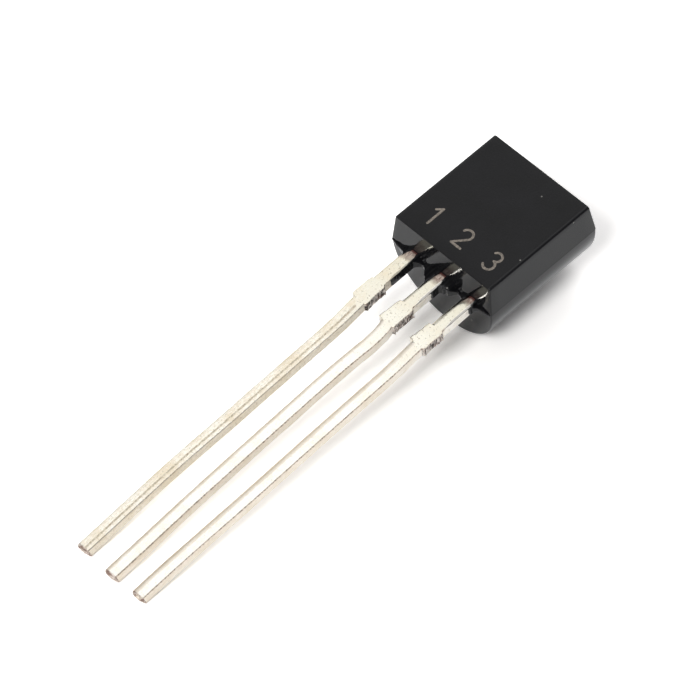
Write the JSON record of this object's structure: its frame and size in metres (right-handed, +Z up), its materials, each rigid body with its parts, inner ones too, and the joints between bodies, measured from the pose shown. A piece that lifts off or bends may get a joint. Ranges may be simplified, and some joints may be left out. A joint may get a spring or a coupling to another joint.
{
  "type": "to-92 transistor",
  "caption": "Small three-lead transistor in a D-shaped black resin case with long, slightly bent tinned leads, lying on the round back of its case and on its lead tips.",
  "frame": {"origin": "on the surface that the transistor lies on, under the middle of the whole transistor's box", "axes": "+X across the leads from lead 1 to lead 3, +Y from the lead tips to the far end of the case, +Z up; the flat face looks up and is tipped 4.8 degrees towards the lead tips"},
  "size_m": [0.0044, 0.019, 0.0038],
  "materials": {
    "moulding_resin": "black epoxy, fine matt on the flat face and glossier on the sides and ends",
    "tinned_lead": "tin plate, satin, slightly pitted",
    "die_solder": "dull solder",
    "silicon": "polished grey silicon",
    "bond_wire": "drawn gold wire"
  },
  "bodies": {
    "root": {"case": "moulding_resin", "collector_lead": "tinned_lead", "base_lead": "tinned_lead", "emitter_lead": "tinned_lead", "die_attach": "die_solder", "silicon_die": "silicon", "base_bond_wire": "bond_wire", "emitter_bond_wire": "bond_wire"}
  },
  "joints": []
}
